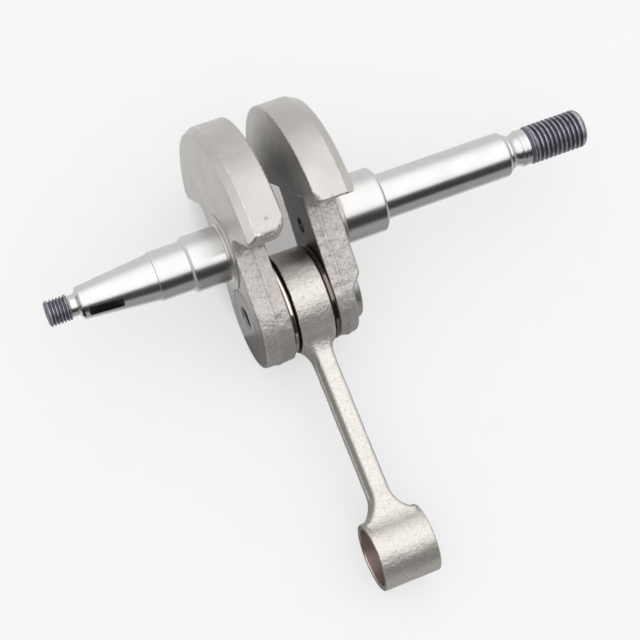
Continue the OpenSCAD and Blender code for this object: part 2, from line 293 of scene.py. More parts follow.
def soften(points, radius, steps=4):
    """Profile with rounded corners, and a ring close to both ends of each
    long stretch so that the shading stays flat between them."""
    p = [np.array(q, float) for q in points]
    out = [p[0]]
    for before, here, after in zip(p, p[1:], p[2:]):
        la, lb = np.linalg.norm(before - here), np.linalg.norm(after - here)
        r = min(radius, 0.4 * la, 0.4 * lb)
        a = here + (before - here) * r / la
        b = here + (after - here) * r / lb
        out += [(1 - t) ** 2 * a + 2 * t * (1 - t) * here + t * t * b
                for t in np.linspace(0, 1, steps)]
    out.append(p[-1])
    full = []
    for a, b in zip(out, out[1:]):
        full.append(a)
        length = np.linalg.norm(b - a)
        if length > 0.6:
            full += [a + (b - a) * 0.12 / length, b - (b - a) * 0.12 / length]
    return full + [out[-1]]


@dataclass
class Thread:
    """A thread along X, in millimetres."""
    start: float
    pitch: float  # right-hand where positive; left-hand and towards -X where negative
    turns: int
    crest: float  # radius of the crest
    depth: float  # of the groove below the crest
    worn: float  # radius above which the crest is rubbed bright
    before: float  # how far the dark skin reaches before the start
    after: float  # and past the end

    def end(self):
        """X of the thread's end."""
        return self.start + self.pitch * self.turns

    def span(self):
        """Lowest and highest X of the grooves."""
        return sorted((self.start, self.end()))

    def skin(self):
        """Lowest and highest X of the dark skin."""
        sense = math.copysign(1, self.pitch)
        return sorted((self.start - sense * self.before, self.end() + sense * self.after))


PTO_THREAD = Thread(start=CYLINDER_END + PTO_THREAD_FROM_END, pitch=1.5, turns=11, crest=5.92,
                    depth=0.93, worn=5.0, before=1.0, after=1.0)
FLY_THREAD = Thread(start=TAPER_END - FLY_THREAD_FROM_END, pitch=-1.0, turns=6, crest=3.93,
                    depth=0.6, worn=3.3, before=0.1, after=0.7)


def thread_shape(x, angle, thread):
    """Radius round the shaft at x: sloping flanks, a narrow flat crest, a
    rounded root, and a run-out where the groove gets shallow at both ends."""
    phase = (x - thread.start) / thread.pitch - angle / (2 * math.pi)
    saw = 2 * np.abs(phase - np.floor(phase) - 0.5)
    groove = smooth_step((0.86 - saw) / 0.72)
    along = (x - thread.start) / (thread.pitch * thread.turns)
    starting = smooth_step(along * thread.turns / 0.8)
    ending = smooth_step((1 - along) * thread.turns / 0.6)
    return thread.crest - thread.depth * groove * starting * ending


def with_thread(profile, thread, rings_per_pitch=16):
    """The profile's rings, and rings without a radius where the thread is.
    There the profile keeps only the small rings of a centre drilling."""
    low, high = thread.span()
    rings = [q for q in profile if not low < q[0] < high or q[1] < thread.crest / 2]
    grooved = [(x, None) for x in np.linspace(low, high, thread.turns * rings_per_pitch + 1)[1:-1]]
    if thread.pitch > 0:
        first = next(i for i, q in enumerate(rings) if q[0] >= high)
    else:
        first = next(i for i, q in enumerate(rings) if q[0] <= low)
        grooved = grooved[::-1]
    return rings[:first] + grooved + rings[first:]


def bridge(a, b):
    """Faces between two loops of points, either of which can be a pole."""
    n = max(len(a), len(b))
    steps = [(i, (i + 1) % n) for i in range(n)]
    if len(a) == 1:
        return [(a[0], b[j], b[i]) for i, j in steps]
    if len(b) == 1:
        return [(a[i], a[j], b[0]) for i, j in steps]
    return [(a[i], a[j], b[j], b[i]) for i, j in steps]


def lathe(name, profile, thread, materials, segments=160):
    """Closed turned object. profile holds (x, radius) from pole to pole."""
    angle = np.arange(segments) * 2 * math.pi / segments
    points, loops = [], []
    for x, r in with_thread(profile, thread):
        radius = thread_shape(x, angle, thread) if r is None else r
        ring = np.stack([np.full(segments, x), radius * np.cos(angle), radius * np.sin(angle)], 1)
        if r == 0:
            ring = ring[:1]
        loops.append(range(len(points), len(points) + len(ring)))
        points += ring.tolist()
    faces = [face for a, b in zip(loops, loops[1:]) for face in bridge(a, b)]
    if thread.pitch < 0:
        faces = [face[::-1] for face in faces]
    return store(name, points, faces, materials, LIE)


def pto_shaft(materials):
    """Power take-off side: boss ring, journal, cylinder, waist and thread."""
    inside = PTO_FACE - NECK_T + 5.5
    ring = CYLINDER_END + PTO_WAIST_L
    start, end, crest = PTO_THREAD.start, PTO_THREAD.end(), PTO_THREAD.crest
    tip = end + 1.6
    drill = 1.6
    dip = PTO_WAIST_L / 2
    waist = [(CYLINDER_END + dip * (1 + math.sin(a)), PTO_WAIST_R + dip * (1 - math.cos(a)))
             for a in np.linspace(-math.pi / 4, math.pi / 4, 9)]
    profile = [(inside, 0), (inside, BOSS_R - 0.5), (-0.25, BOSS_R), (0, BOSS_R - 0.25),
               (0, PTO_JOURNAL_R + 0.6), (0.3, PTO_JOURNAL_R - 0.12), (0.9, PTO_JOURNAL_R),
               (PTO_JOURNAL_L - 0.9, PTO_JOURNAL_R), (PTO_JOURNAL_L, PTO_JOURNAL_R - 0.9),
               (PTO_JOURNAL_L, PTO_CYLINDER_R), (CYLINDER_END - 1.0, PTO_CYLINDER_R),
               (CYLINDER_END, PTO_CYLINDER_R - 0.8), (CYLINDER_END, PTO_WAIST_R + 0.8)]
    profile += waist
    profile += [(ring, PTO_WAIST_R + 0.8), (ring + 0.2, crest - 0.3), (start - 1.1, crest - 0.3),
                (start - 0.9, crest - 0.7), (start - 0.5, crest - 0.7), (start, crest), (end, crest),
                (end + 0.5, crest - 0.15), (end + 1.2, crest - 0.8), (tip, crest - 1.7),
                (tip, drill + 0.5), (tip - 0.7, drill), (tip - 2.5, drill * 0.5),
                (tip - 3.2, 0)]
    return lathe("pto_shaft", soften(profile, 0.3), PTO_THREAD, materials)


def taper_radius(x):
    """Radius of the flywheel-side taper at x."""
    return TAPER_R2 + (TAPER_R1 - TAPER_R2) * (x - TAPER_END) / TAPER_L


def fly_shaft(materials):
    """Flywheel side: boss ring, journal, seal step, keyed taper and thread."""
    inside = FLY_FACE + 5.5
    journal_end = FLY_SHOULDER - FLY_JOURNAL_L
    step_end = journal_end - FLY_STEP_L
    start, end, crest = FLY_THREAD.start, FLY_THREAD.end(), FLY_THREAD.crest
    neck = 3.25
    tip = end - 0.6
    drill = 1.2
    profile = [(inside, 0), (inside, BOSS_R - 0.5), (FLY_SHOULDER + 0.2, BOSS_R),
               (FLY_SHOULDER, BOSS_R - 0.2), (FLY_SHOULDER, FLY_JOURNAL_R + 0.7),
               (FLY_SHOULDER - 0.3, FLY_JOURNAL_R - 0.1), (FLY_SHOULDER - 0.8, FLY_JOURNAL_R),
               (journal_end + 0.8, FLY_JOURNAL_R), (journal_end, FLY_JOURNAL_R - 0.8),
               (journal_end, FLY_STEP_R), (step_end + 0.15, FLY_STEP_R),
               (step_end, FLY_STEP_R - 0.15), (step_end, TAPER_R1),
               (TAPER_END + 0.5, TAPER_R2), (TAPER_END, TAPER_R2 - 0.4),
               (TAPER_END, neck + 0.9), (TAPER_END - 0.7, neck), (start + 0.5, neck),
               (start, crest - 0.25), (start - 0.25, crest), (end, crest),
               (tip, crest - 0.6), (tip, drill + 0.5), (tip + 0.6, drill),
               (tip + 2.0, 0)]
    shaft = lathe("flywheel_shaft", soften(profile, 0.25), FLY_THREAD, materials)
    slot_x = TAPER_END + KEY_FROM_END
    cut_key_slot(shaft, slot_x, taper_radius(slot_x) + KEY_CUTTER_R - KEY_DEPTH)
    return shaft


def cut_key_slot(shaft, x, height):
    """Cuts the half-round key slot with a disc whose axle crosses the shaft."""
    n = 96
    turn = np.arange(n) * 2 * math.pi / n
    points = [(x + KEY_CUTTER_R * math.cos(a), height + KEY_CUTTER_R * math.sin(a), side * KEY_W / 2)
              for side in (-1, 1) for a in turn]
    faces = [(i, (i + 1) % n, n + (i + 1) % n, n + i) for i in range(n)]
    faces += [tuple(range(n))[::-1], tuple(range(n, 2 * n))]
    cutter = store("key_cutter", points, faces, [], LIE + KEY_ANGLE)
    modifier = shaft.modifiers.new("slot", "BOOLEAN")
    modifier.operation = "DIFFERENCE"
    modifier.solver = "EXACT"
    modifier.object = cutter
    bpy.context.view_layer.update()
    evaluated = shaft.evaluated_get(bpy.context.evaluated_depsgraph_get())
    cut = bpy.data.meshes.new_from_object(evaluated)
    shaft.modifiers.clear()
    shaft.data = cut
    bpy.data.objects.remove(cutter)


def on_slot_walls(x, y, z, outward):
    """Which faces are walls of the key slot. outward tells how far each face
    looks away from the axis."""
    turn = LIE + KEY_ANGLE
    across = -y * math.sin(turn) + z * math.cos(turn)
    along = y * math.cos(turn) + z * math.sin(turn)
    on_taper = (x > TAPER_END - 0.1) & (x < TAPER_END + TAPER_L)
    in_slot = (along > 0) & (np.abs(across) < KEY_W / 2 + 0.01)
    sunk = (np.hypot(y, z) < taper_radius(x) - 0.05) | (outward < 0.9)
    return on_taper & in_slot & sunk


def finish_shaft(shaft, thread, journal_r):
    """Sharp lines where the profile turns sharply, and the materials of the
    thread, the key slot's walls and the turned boss."""
    mesh = shaft.data
    mesh.shade_smooth()
    mesh.set_sharp_from_angle(angle=math.radians(38))
    x, y, z = triples(mesh.polygons, "center").T / MM
    r = np.hypot(y, z)
    normal = triples(mesh.polygons, "normal").T
    outward = (normal[1] * y + normal[2] * z) / r
    low, high = thread.skin()
    threaded = (x > low) & (x < high)
    boss = r > journal_r + 0.35
    # Material 2, on the key slot's walls, is painted shade
    index = threaded + 2 * on_slot_walls(x, y, z, outward) + 3 * boss
    mesh.polygons.foreach_set("material_index", index.astype(np.int32))


def paint_crest(shaft, thread):
    """Paints how close each point of the thread is to its crest."""
    x, y, z = triples(shaft.data.vertices, "co").T / MM
    low, high = thread.skin()
    worn = np.clip((np.hypot(y, z) - thread.worn) / (thread.crest - thread.worn), 0, 1)
    paint(shaft, "crest", np.where((x > low) & (x < high), worn, 0))


# ---- Forged webs ---------------------------------------------------------

@dataclass
class Web:
    """What differs between the two webs, in millimetres."""
    name: str
    node: str
    face: float  # X of the outer face
    sense: int  # 1 where the gap lies towards +X of that face, otherwise -1
    end_r: float  # round end at the pin
    upper_round: float  # rounding of the rim's upper end, seen along the axis
    upper_shift: float  # how far the forging stands proud of the chord there
    corner: float  # rounding of that end towards the gap
    recess: float  # how far the pin end lies behind the outer face


FLY_WEB = Web("flywheel_web", "flywheel_half", FLY_FACE, sense=1, end_r=16.2,
              upper_round=4.5, upper_shift=6.3, corner=4.5, recess=0.0)
PTO_WEB = Web("pto_web", "pto_half", PTO_FACE, sense=-1, end_r=14.6,
              upper_round=1.0, upper_shift=0.6, corner=2.6, recess=3.4)


def rim_end(angle, side):
    """Where the rim ends, at an angle from the counterweight's middle."""
    return np.array([-WEIGHT_R * math.cos(angle), side * WEIGHT_R * math.sin(angle)])


UPPER, LOWER = rim_end(END_UPPER, -1), rim_end(END_LOWER, 1)
CHORD = (LOWER - UPPER) / np.linalg.norm(LOWER - UPPER)


def past_chord(u, v):
    """Distance past the straight machined chord between the rim's two ends."""
    return (u - UPPER[0]) * CHORD[1] - (v - UPPER[1]) * CHORD[0]


def raw_chord(u, v, web):
    """Distance past the forging's own edge, which stands proud of the chord
    at the upper end and meets it at the middle."""
    return past_chord(u, v) - web.upper_shift * smooth_step(-v / 8.0)


def raw_plan(u, v, web):
    """Outline of the forging round the counterweight, with its raw corner."""
    rim = np.hypot(u, v) - WEIGHT_R
    return round_cut(rim, raw_chord(u, v, web), web.upper_round)


def web_sides(w, u, v, web):
    """Side walls of the whole web, seen along the crank axis."""
    neck = neck_plan(u, v, web) + parting(w, web)
    upper = round_union(raw_plan(u, v, web), neck, UPPER_FILLET)
    lower = round_union(raw_plan(u, v, web), neck, LOWER_FILLET)
    return np.where(v < 0, upper, lower)


def neck_plan(u, v, web):
    """Outline of the neck, which widens towards the round end at the pin."""
    slope = (web.end_r - NECK_W) / THROW
    ramp = 0.5 * (u + np.sqrt(u * u + 9))
    band = (np.abs(v) - NECK_W - slope * ramp) / math.hypot(1, slope)
    disc = np.hypot(u - THROW, v) - web.end_r
    return np.minimum(np.maximum(np.maximum(band, u - THROW), -u - 17), disc)


def parting(w, web):
    """How far the forged sides fall back from the ridge at the parting line."""
    ridge = (web.recess + NECK_T) / 2
    off = np.abs(w - ridge)
    return 0.055 * np.maximum(off - 0.5, 0) + 0.22 * smooth_step((off - 0.35) / 0.5)


def corner_round(u, v, web):
    """Radius of the corner beside the rim's upper end, on the gap's side."""
    close = smooth_step((raw_chord(u, v, web) + 1.6 * web.corner) / (1.4 * web.corner))
    return web.corner * close * smooth_step((-v - NECK_W - UPPER_FILLET) / 6)


def inner_face(w, u, v, web):
    """Inner side of the web: the neck, and the counterweight's raised part,
    which ends at the chord."""
    proud = web.upper_shift * smooth_step((-v - NECK_W) / 6.0)
    beyond = 40 * smooth_step((-v - NECK_W - UPPER_FILLET) / 2)
    raised = round_cut(past_chord(u, v) - proud - beyond, w - WEIGHT_T, 0.3)
    return round_union(w - NECK_T, raised, STEP_FILLET)


def rim_edges(w, r):
    """The rim's wide outer bevel and its broken inner edge."""
    bevel = (r - WEIGHT_R + RIM_BEVEL_R) * RIM_BEVEL_X - w * RIM_BEVEL_R
    bevel /= math.hypot(RIM_BEVEL_X, RIM_BEVEL_R)
    return np.maximum(bevel, (r - WEIGHT_R + w - WEIGHT_T + RIM_BREAK) / math.sqrt(2))


def centre_drill(w, r):
    """Centre drilling of the inner face, with a coned bottom."""
    floor = NECK_T - CENTRE_DRILL_DEPTH - w
    return np.maximum(r - CENTRE_DRILL_R, (r - CENTRE_DRILL_R + floor) / math.sqrt(2))


def web_field(w, u, v, web):
    """The whole web. w is the depth behind its outer face."""
    r = np.hypot(u, v)
    from_pin = np.hypot(u - THROW, v)
    outer_face = web.recess * smooth_step((u - 16.0) / 5.5) - w
    body = round_cut(web_sides(w, u, v, web), inner_face(w, u, v, web),
                     0.35 + corner_round(u, v, web))
    body = np.maximum(round_cut(body, outer_face, 0.9), rim_edges(w, r))
    if web.recess:
        boss = round_cut(from_pin - PIN_BOSS_R, PIN_BOSS_DEPTH - w, 0.8)
        body = round_union(body, np.maximum(boss, w - 6), 0.6)
    body = round_cut(body, PIN_R + PIN_OUTLINE - from_pin, 0.2)
    return round_cut(body, -centre_drill(w, r), 0.3)


def forged_share(w, u, v, web):
    """1 on the raw forged sides and ends, 0 on the machined rim and faces."""
    r = np.hypot(u, v)
    ragged = 0.12 * wobble(w, u, v, 2.2, 21)
    margin = 0.5 + corner_round(u, v, web) * (w > WEIGHT_T / 3)
    on_side = smooth_step((web_sides(w, u, v, web) + margin) / 0.3)
    off_bevel = smooth_step((RIM_OUT_R - r + ragged - 0.8 * np.maximum(3.2 - w, 0)) / 0.2)
    return on_side * off_bevel


def painted_shade_share(w, u, v, web):
    """Painted shade: 1 on the inner face, where the gap between the webs lies in shade,
    fading to 0 at the rim. The flywheel web's outer face gets a little painted shade towards the
    pin."""
    r = np.hypot(u, v)
    inside = smooth_step((-0.7 - web_sides(w, u, v, web)) / 0.4) * (w > NECK_T - 0.5)
    inner = inside * smooth_step((36.5 - r) / 21)
    outer = 0.62 * smooth_step((u - 3) / 20) * (w < 0.2) * (web.sense > 0)
    return np.maximum(inner, outer)


def painted_edge_highlights(w, u, v, web):
    """1 along the counterweight rim's two edges, a painted highlight, and along a bright ragged line
    where the turned rim runs out at its upper end on the flywheel web.
    """
    r = np.hypot(u, v)
    lines = [np.hypot(r - WEIGHT_R, w - RIM_BEVEL_X), np.hypot(r - WEIGHT_R, w - WEIGHT_T)]
    glow = sum(np.exp(-(d / 0.2) ** 2) for d in lines)
    uneven = 0.4 + 0.25 * wobble(w, u, v, 4.0, 11)
    leaving = (RIM_OUT_R + 0.07 * wobble(w, u, v, 2.2, 21) - r) / 0.1
    corner = raw_chord(u, v, web) + web.upper_round + 0.8 * web.corner > 0
    torn = np.exp(-leaving ** 2) * corner * (v < 0) * (w > RIM_BEVEL_X) * (web.sense > 0)
    return np.clip(np.maximum(glow * uneven, torn * (0.75 + 0.3 * wobble(w, u, v, 3, 12))), 0, 1)


def nicks(w, u, v, web, count=7):
    """1 along short separate strokes where handling has marked the rim."""
    rng = np.random.default_rng(9)
    along = np.arctan2(-v, -u) * WEIGHT_R
    total = np.zeros_like(u)
    for i in range(count):
        a0 = math.radians(38 + 32 * i / (count - 1) + rng.uniform(-1.5, 1.5)) * WEIGHT_R
        b0 = rng.uniform(1.8, 7.0)
        length = rng.uniform(1.4, 3.4)
        turn = rng.uniform(0.2, 1.3)
        bend = rng.uniform(-0.08, 0.08)
        x = (along - a0) * math.cos(turn) + (w - b0) * math.sin(turn)
        y = -(along - a0) * math.sin(turn) + (w - b0) * math.cos(turn) - bend * x * x
        stroke = np.exp(-(y / 0.17) ** 2) * smooth_step((length / 2 - np.abs(x)) / 0.5)
        total = np.maximum(total, stroke * rng.uniform(0.3, 0.5))
    return total * (web.sense > 0)


def make_web(web, materials):
    """Makes one web in the throw's frame and lays it in place. In that frame u
    runs from the crank axis to the pin, and v across it."""

    def depth(x):
        return (x - web.face) * web.sense

    def field(x, u, v):
        return web_field(depth(x), u, v, web)

    def rough(x, u, v):
        share = forged_share(depth(x), u, v, web)
        return share * (0.05 * wobble(x, u, v, 4.5, 1) + 0.02 * wobble(x, u, v, 1.6, 2))

    far = web.face + web.sense * WEIGHT_T
    low = (min(web.face, far), -WEIGHT_R, -WEIGHT_R)
    high = (max(web.face, far), THROW + web.end_r, WEIGHT_R)
    step = 0.32
    obj, p = field_object(web.name, field, rough, low, high, step, materials, LIE)
    w, u, v = depth(p[:, 0]), p[:, 1], p[:, 2]
    paint(obj, "forged", forged_share(w, u, v, web))
    # Painted highlights along the rim's edges
    paint(obj, "edge", painted_edge_highlights(w, u, v, web))
    paint(obj, "nick", nicks(w, u, v, web))
    # Painted shade on the inner face, and on the flywheel web's outer face near the pin
    paint(obj, "painted_shade", painted_shade_share(w, u, v, web))
    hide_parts(web.node)
    return obj


# ---- Connecting rod ------------------------------------------------------

def eye_fillet(s, t, eye_r, blend_r):
    """Space between an eye at the origin and the shank's flank, outside the
    blending circle that touches both."""
    centre_t = SHANK_T + blend_r
    centre_s = math.sqrt((eye_r + blend_r) ** 2 - centre_t**2)
    above = (t * centre_s - s * centre_t) / (eye_r + blend_r)
    wedge = np.maximum(np.maximum(s - centre_s, -s), above)
    return np.maximum(wedge, blend_r - np.hypot(s - centre_s, t - centre_t))


def rod_plan(s, t):
    """Outline of the rod, seen along the crank pin."""
    band = np.maximum(np.abs(t) - SHANK_T, np.maximum(-s, s - ROD_L))
    plan = np.minimum(band, np.minimum(np.hypot(s, t) - BIG_R, np.hypot(s - ROD_L, t) - SMALL_R))
    for middle_s, eye_r, sense in ((0, BIG_R, 1), (ROD_L, SMALL_R, -1)):
        fillet = eye_fillet(sense * (s - middle_s), np.abs(t), eye_r, EYE_BLEND_R)
        plan = np.minimum(plan, fillet)
    return plan


def flare(past):
    """How much thicker the shank is at a distance past a flare's beginning."""
    return EYE_BLEND_R - np.sqrt(np.maximum(EYE_BLEND_R**2 - np.maximum(past, 0) ** 2, 1))


def shank_half(s):
    """Half the shank's thickness along X, which flares towards both eyes."""
    climb = math.acos(1 - (FLARE_HALF - SHANK_X) / EYE_BLEND_R)
    small_flare = ROD_L - 9.2 - EYE_BLEND_R * math.sin(climb)
    half = SHANK_X + flare(20 - s) + flare(s - small_flare)
    return np.minimum(half, np.where(s < ROD_L / 2, BIG_HALF, FLARE_HALF))


def shank_groove(x, s, t):
    """Long recess in both sides of the shank, which makes it an I-section."""
    start, end = BIG_R + 7, ROD_L - SMALL_R - 8
    beside = np.hypot(np.maximum(np.maximum(start - s, s - end), 0), t) - GROOVE_HALF
    return round_cut(beside * 0.6, SHANK_X - SHANK_GROOVE - np.abs(x), 0.5)


def rod_field(x, s, t):
    """Rod with its big end at the origin and its small end at s = ROD_L."""
    from_big, from_small = np.hypot(s, t), np.hypot(s - ROD_L, t)
    shank = round_cut(rod_plan(s, t), (np.abs(x) - shank_half(s)) * 0.8, 1.1)
    eye_big = round_cut(from_big - BIG_R, np.abs(x) - BIG_HALF, 0.5)
    eye_small = round_cut(from_small - SMALL_R, np.abs(x) - SMALL_HALF, 0.5)
    body = np.minimum(np.minimum(shank, eye_big), eye_small)
    body = round_cut(body, -shank_groove(x, s, t), 0.8)
    body = round_cut(body, BIG_BORE - from_big, 0.35)
    return round_cut(body, SMALL_BORE - from_small, 0.35)


def ground_share(x, s, t):
    """1 on the rod's ground faces and bores, 0 on its blasted skin."""
    faces = np.maximum((np.abs(x) > BIG_HALF - 0.12) & (s < BIG_R + 1),
                       (np.abs(x) > SMALL_HALF - 0.12) & (s > ROD_L - SMALL_R - 1))
    return np.maximum(smooth_step((-s - 5.5) / 4.5), faces | (bore_share(s, t) > 0))


def bore_share(s, t):
    """1 inside the two bores."""
    bores = np.minimum(np.hypot(s, t) - BIG_BORE, np.hypot(s - ROD_L, t) - SMALL_BORE)
    return (bores < 0.2).astype(float)


def flank_painted_shade(points):
    """1 on the shank's grooved sides, where a painted shade darkens the colour."""
    slope = gradient(rod_field, points)
    sideways = np.abs(slope[:, 0]) / np.linalg.norm(slope, axis=1)
    s = points[:, 1]
    along = smooth_step((s - BIG_R + 2) / 6) * smooth_step((ROD_L - SMALL_R + 1 - s) / 5)
    return along * smooth_step((sideways - 0.45) / 0.4)


def make_rod(materials):
    """Makes the connecting rod and hangs it on the pin."""

    def rough(x, s, t):
        share = 1 - ground_share(x, s, t)
        return share * (0.022 * wobble(x, s, t, 6, 5) + 0.007 * wobble(x, s, t, 1.5, 6))

    low = (-SMALL_HALF, -BIG_R, -BIG_R)
    high = (SMALL_HALF, ROD_L + SMALL_R, BIG_R)
    step = 0.3
    origin = (ROD_X, PIN[1], PIN[2])
    obj, p = field_object("rod_forging", rod_field, rough, low, high, step, materials,
                          ROD_ANGLE, origin)
    paint(obj, "ground", ground_share(*p.T))
    paint(obj, "bore", bore_share(p[:, 1], p[:, 2]))
    # Painted shade on the shank's grooved sides
    paint(obj, "flank", flank_painted_shade(p))
    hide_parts("connecting_rod")
    return obj


# ---- Materials -----------------------------------------------------------

class Nodes:
    """Short hand for building one material's node tree."""

    def __init__(self, name):
        self.material = bpy.data.materials.new(name)
        self.material.use_nodes = True
        self.tree = self.material.node_tree
        self.shader = self.tree.nodes["Principled BSDF"]
        self.place = self.add("ShaderNodeTexCoord").outputs["Object"]

    def add(self, kind, **settings):
        node = self.tree.nodes.new(kind)
        for key, value in settings.items():
            setattr(node, key, value)
        return node

    def link(self, source, target):
        self.tree.links.new(source, target)

    def stretched(self, scale):
        node = self.add("ShaderNodeMapping")
        node.inputs["Scale"].default_value = scale
        self.link(self.place, node.inputs["Vector"])
        return node.outputs["Vector"]

    def noise(self, scale, detail=2.0, rough=0.5, vector=None):
        node = self.add("ShaderNodeTexNoise")
        node.inputs["Scale"].default_value = scale
        node.inputs["Detail"].default_value = detail
        node.inputs["Roughness"].default_value = rough
        self.link(vector or self.place, node.inputs["Vector"])
        return node.outputs["Fac"]

    def cells(self, scale):
        node = self.add("ShaderNodeTexVoronoi")
        node.inputs["Scale"].default_value = scale
        self.link(self.place, node.inputs["Vector"])
        return node.outputs["Distance"]

    def painted(self, name):
        return self.add("ShaderNodeAttribute", attribute_name=name).outputs["Fac"]

    def span(self, value, low, high, out_low=0.0, out_high=1.0):
        node = self.add("ShaderNodeMapRange", clamp=True)
        for key, number in (("From Min", low), ("From Max", high),
                            ("To Min", out_low), ("To Max", out_high)):
            node.inputs[key].default_value = number
        self.link(value, node.inputs["Value"])
        return node.outputs["Result"]

    def math(self, operation, *values):
        node = self.add("ShaderNodeMath", operation=operation)
        for socket, value in zip(node.inputs, values):
            if isinstance(value, (int, float)):
                socket.default_value = value
            else:
                self.link(value, socket)
        return node.outputs["Value"]

    def mix(self, share, a, b):
        """Colour a where share is 0 and b where it is 1."""
        node = self.add("ShaderNodeMix", data_type="RGBA")
        if isinstance(share, float):
            node.inputs["Factor"].default_value = share
        else:
            self.link(share, node.inputs["Factor"])
        for socket, value in ((node.inputs[6], a), (node.inputs[7], b)):
            if isinstance(value, tuple):
                socket.default_value = (*value, 1)
            else:
                self.link(value, socket)
        return node.outputs[2]

    def bump(self, height, strength, distance, normal=None):
        node = self.add("ShaderNodeBump")
        node.inputs["Strength"].default_value = strength
        node.inputs["Distance"].default_value = distance
        self.link(height, node.inputs["Height"])
        if normal:
            self.link(normal, node.inputs["Normal"])
        return node.outputs["Normal"]

    def finish(self, color, roughness, metallic, normal=None):
        for key, value in (("Base Color", color), ("Roughness", roughness),
                           ("Metallic", metallic)):
            if isinstance(value, tuple):
                self.shader.inputs[key].default_value = (*value, 1)
            elif isinstance(value, (int, float)):
                self.shader.inputs[key].default_value = value
            else:
                self.link(value, self.shader.inputs[key])
        if normal:
            self.link(normal, self.shader.inputs["Normal"])
        return self.material


def ground_steel(name, color, rough):
    """Cylindrically ground steel: fine rings round the X axis."""
    n = Nodes(name)
    rings = n.noise(1.0, 3, 0.6, n.stretched((5000, 90, 90)))
    patches = n.noise(160, 3)
    tint = n.mix(n.span(patches, 0.3, 0.7), tuple(0.93 * c for c in color), color)
    grain = n.math("ADD", n.math("MULTIPLY", rings, 0.12), n.math("MULTIPLY", patches, 0.1))
    roughness = n.span(grain, 0.05, 0.17, rough * 0.92, rough * 1.08)
    return n.finish(tint, roughness, 1.0)


def slot_shade_steel():
    """Painted shade: the key slot's walls are painted nearly black, with fine specks."""
    n = Nodes("slot_shade_steel")
    speck = n.noise(1500, 3)
    return n.finish(n.mix(speck, (0.012, 0.011, 0.011), (0.05, 0.045, 0.043)), 0.55, 0.8)


def washer_steel(name, bright, edge, half):
    """Hardened washer: polished round the middle of its rim, heat-browned
    beside the webs and the rod. X positions come from the washer's own box."""
    n = Nodes(name)
    split = n.add("ShaderNodeSeparateXYZ")
    n.link(n.place, split.inputs[0])
    off = n.math("ABSOLUTE", n.math("SUBTRACT", split.outputs["X"], middle(name)[0] * MM))
    rubbed = n.span(off, half * MM, (half + 0.12) * MM)
    patches = n.noise(300, 3)
    color = n.mix(rubbed, bright, n.mix(patches, edge, tuple(1.8 * c for c in edge)))
    return n.finish(color, n.span(rubbed, 0, 1, 0.14, 0.4), 1.0)


def thread_steel():
    """Dark phosphated thread whose crests have rubbed bright."""
    n = Nodes("phosphated_thread")
    speck = n.noise(3500, 3, 0.7)
    patches = n.noise(500, 3)
    wear = n.math("MULTIPLY", n.span(n.painted("crest"), 0.74, 1.0), n.span(patches, 0.3, 0.6))
    dark = n.mix(n.span(speck, 0.4, 0.7), (0.085, 0.086, 0.108), (0.18, 0.182, 0.22))
    color = n.mix(wear, dark, (0.40, 0.40, 0.43))
    return n.finish(color, n.span(speck, 0.3, 0.7, 0.3, 0.5), 0.7, n.bump(speck, 0.2, 0.00006))


def web_steel():
    """Shot-blasted forging with turned faces and rim, told apart by the
    painted share, painted highlights on the rim's edges, painted shade on the inner face, and a few
    nicks."""
    n = Nodes("forged_web")
    forged = n.span(n.painted("forged"), 0.25, 0.75)
    cloud = n.noise(110, 4, 0.6)
    grain = n.noise(1500, 4, 0.75)
    pits = n.span(n.cells(900), 0.0, 0.35)
    turned_color = n.mix(n.span(cloud, 0.3, 0.7), (0.435, 0.417, 0.396), (0.505, 0.487, 0.464))
    raw = n.mix(n.span(grain, 0.3, 0.7), (0.36, 0.336, 0.32), (0.60, 0.57, 0.545))
    raw = n.mix(n.span(pits, 0.0, 0.5), (0.30, 0.27, 0.25), raw)
    raw = n.mix(n.span(cloud, 0.55, 0.95), raw, n.mix(grain, (0.28, 0.24, 0.215), raw))
    color = n.mix(forged, turned_color, raw)
    # Painted highlights on the rim's edges, lightened together with the real nicks
    highlight_and_nicks = n.math("MAXIMUM", n.painted("edge"), n.painted("nick"))
    # Painted shade: the colour is darkened towards near black on the inner face and near the pin
    darker = n.mix(0.9, color, (0.03, 0.028, 0.03))
    color = n.mix(n.painted("painted_shade"), color, darker)
    color = n.mix(n.span(highlight_and_nicks, 0.2, 0.9), color, (0.85, 0.84, 0.82))
    rings = n.noise(1.0, 2, 0.5, n.stretched((3000, 400, 400)))
    turned_rough = n.span(rings, 0.3, 0.7, 0.34, 0.42)
    roughness = n.math("ADD", turned_rough, n.math("MULTIPLY", forged, 0.04))
    fine = n.bump(rings, 0.06, 0.00005)
    height = n.math("MULTIPLY", n.math("ADD", grain, n.math("MULTIPLY", pits, 0.5)), forged)
    return n.finish(color, roughness, n.span(forged, 0, 1, 0.92, 0.84),
                    n.bump(height, 0.8, 0.00024, fine))


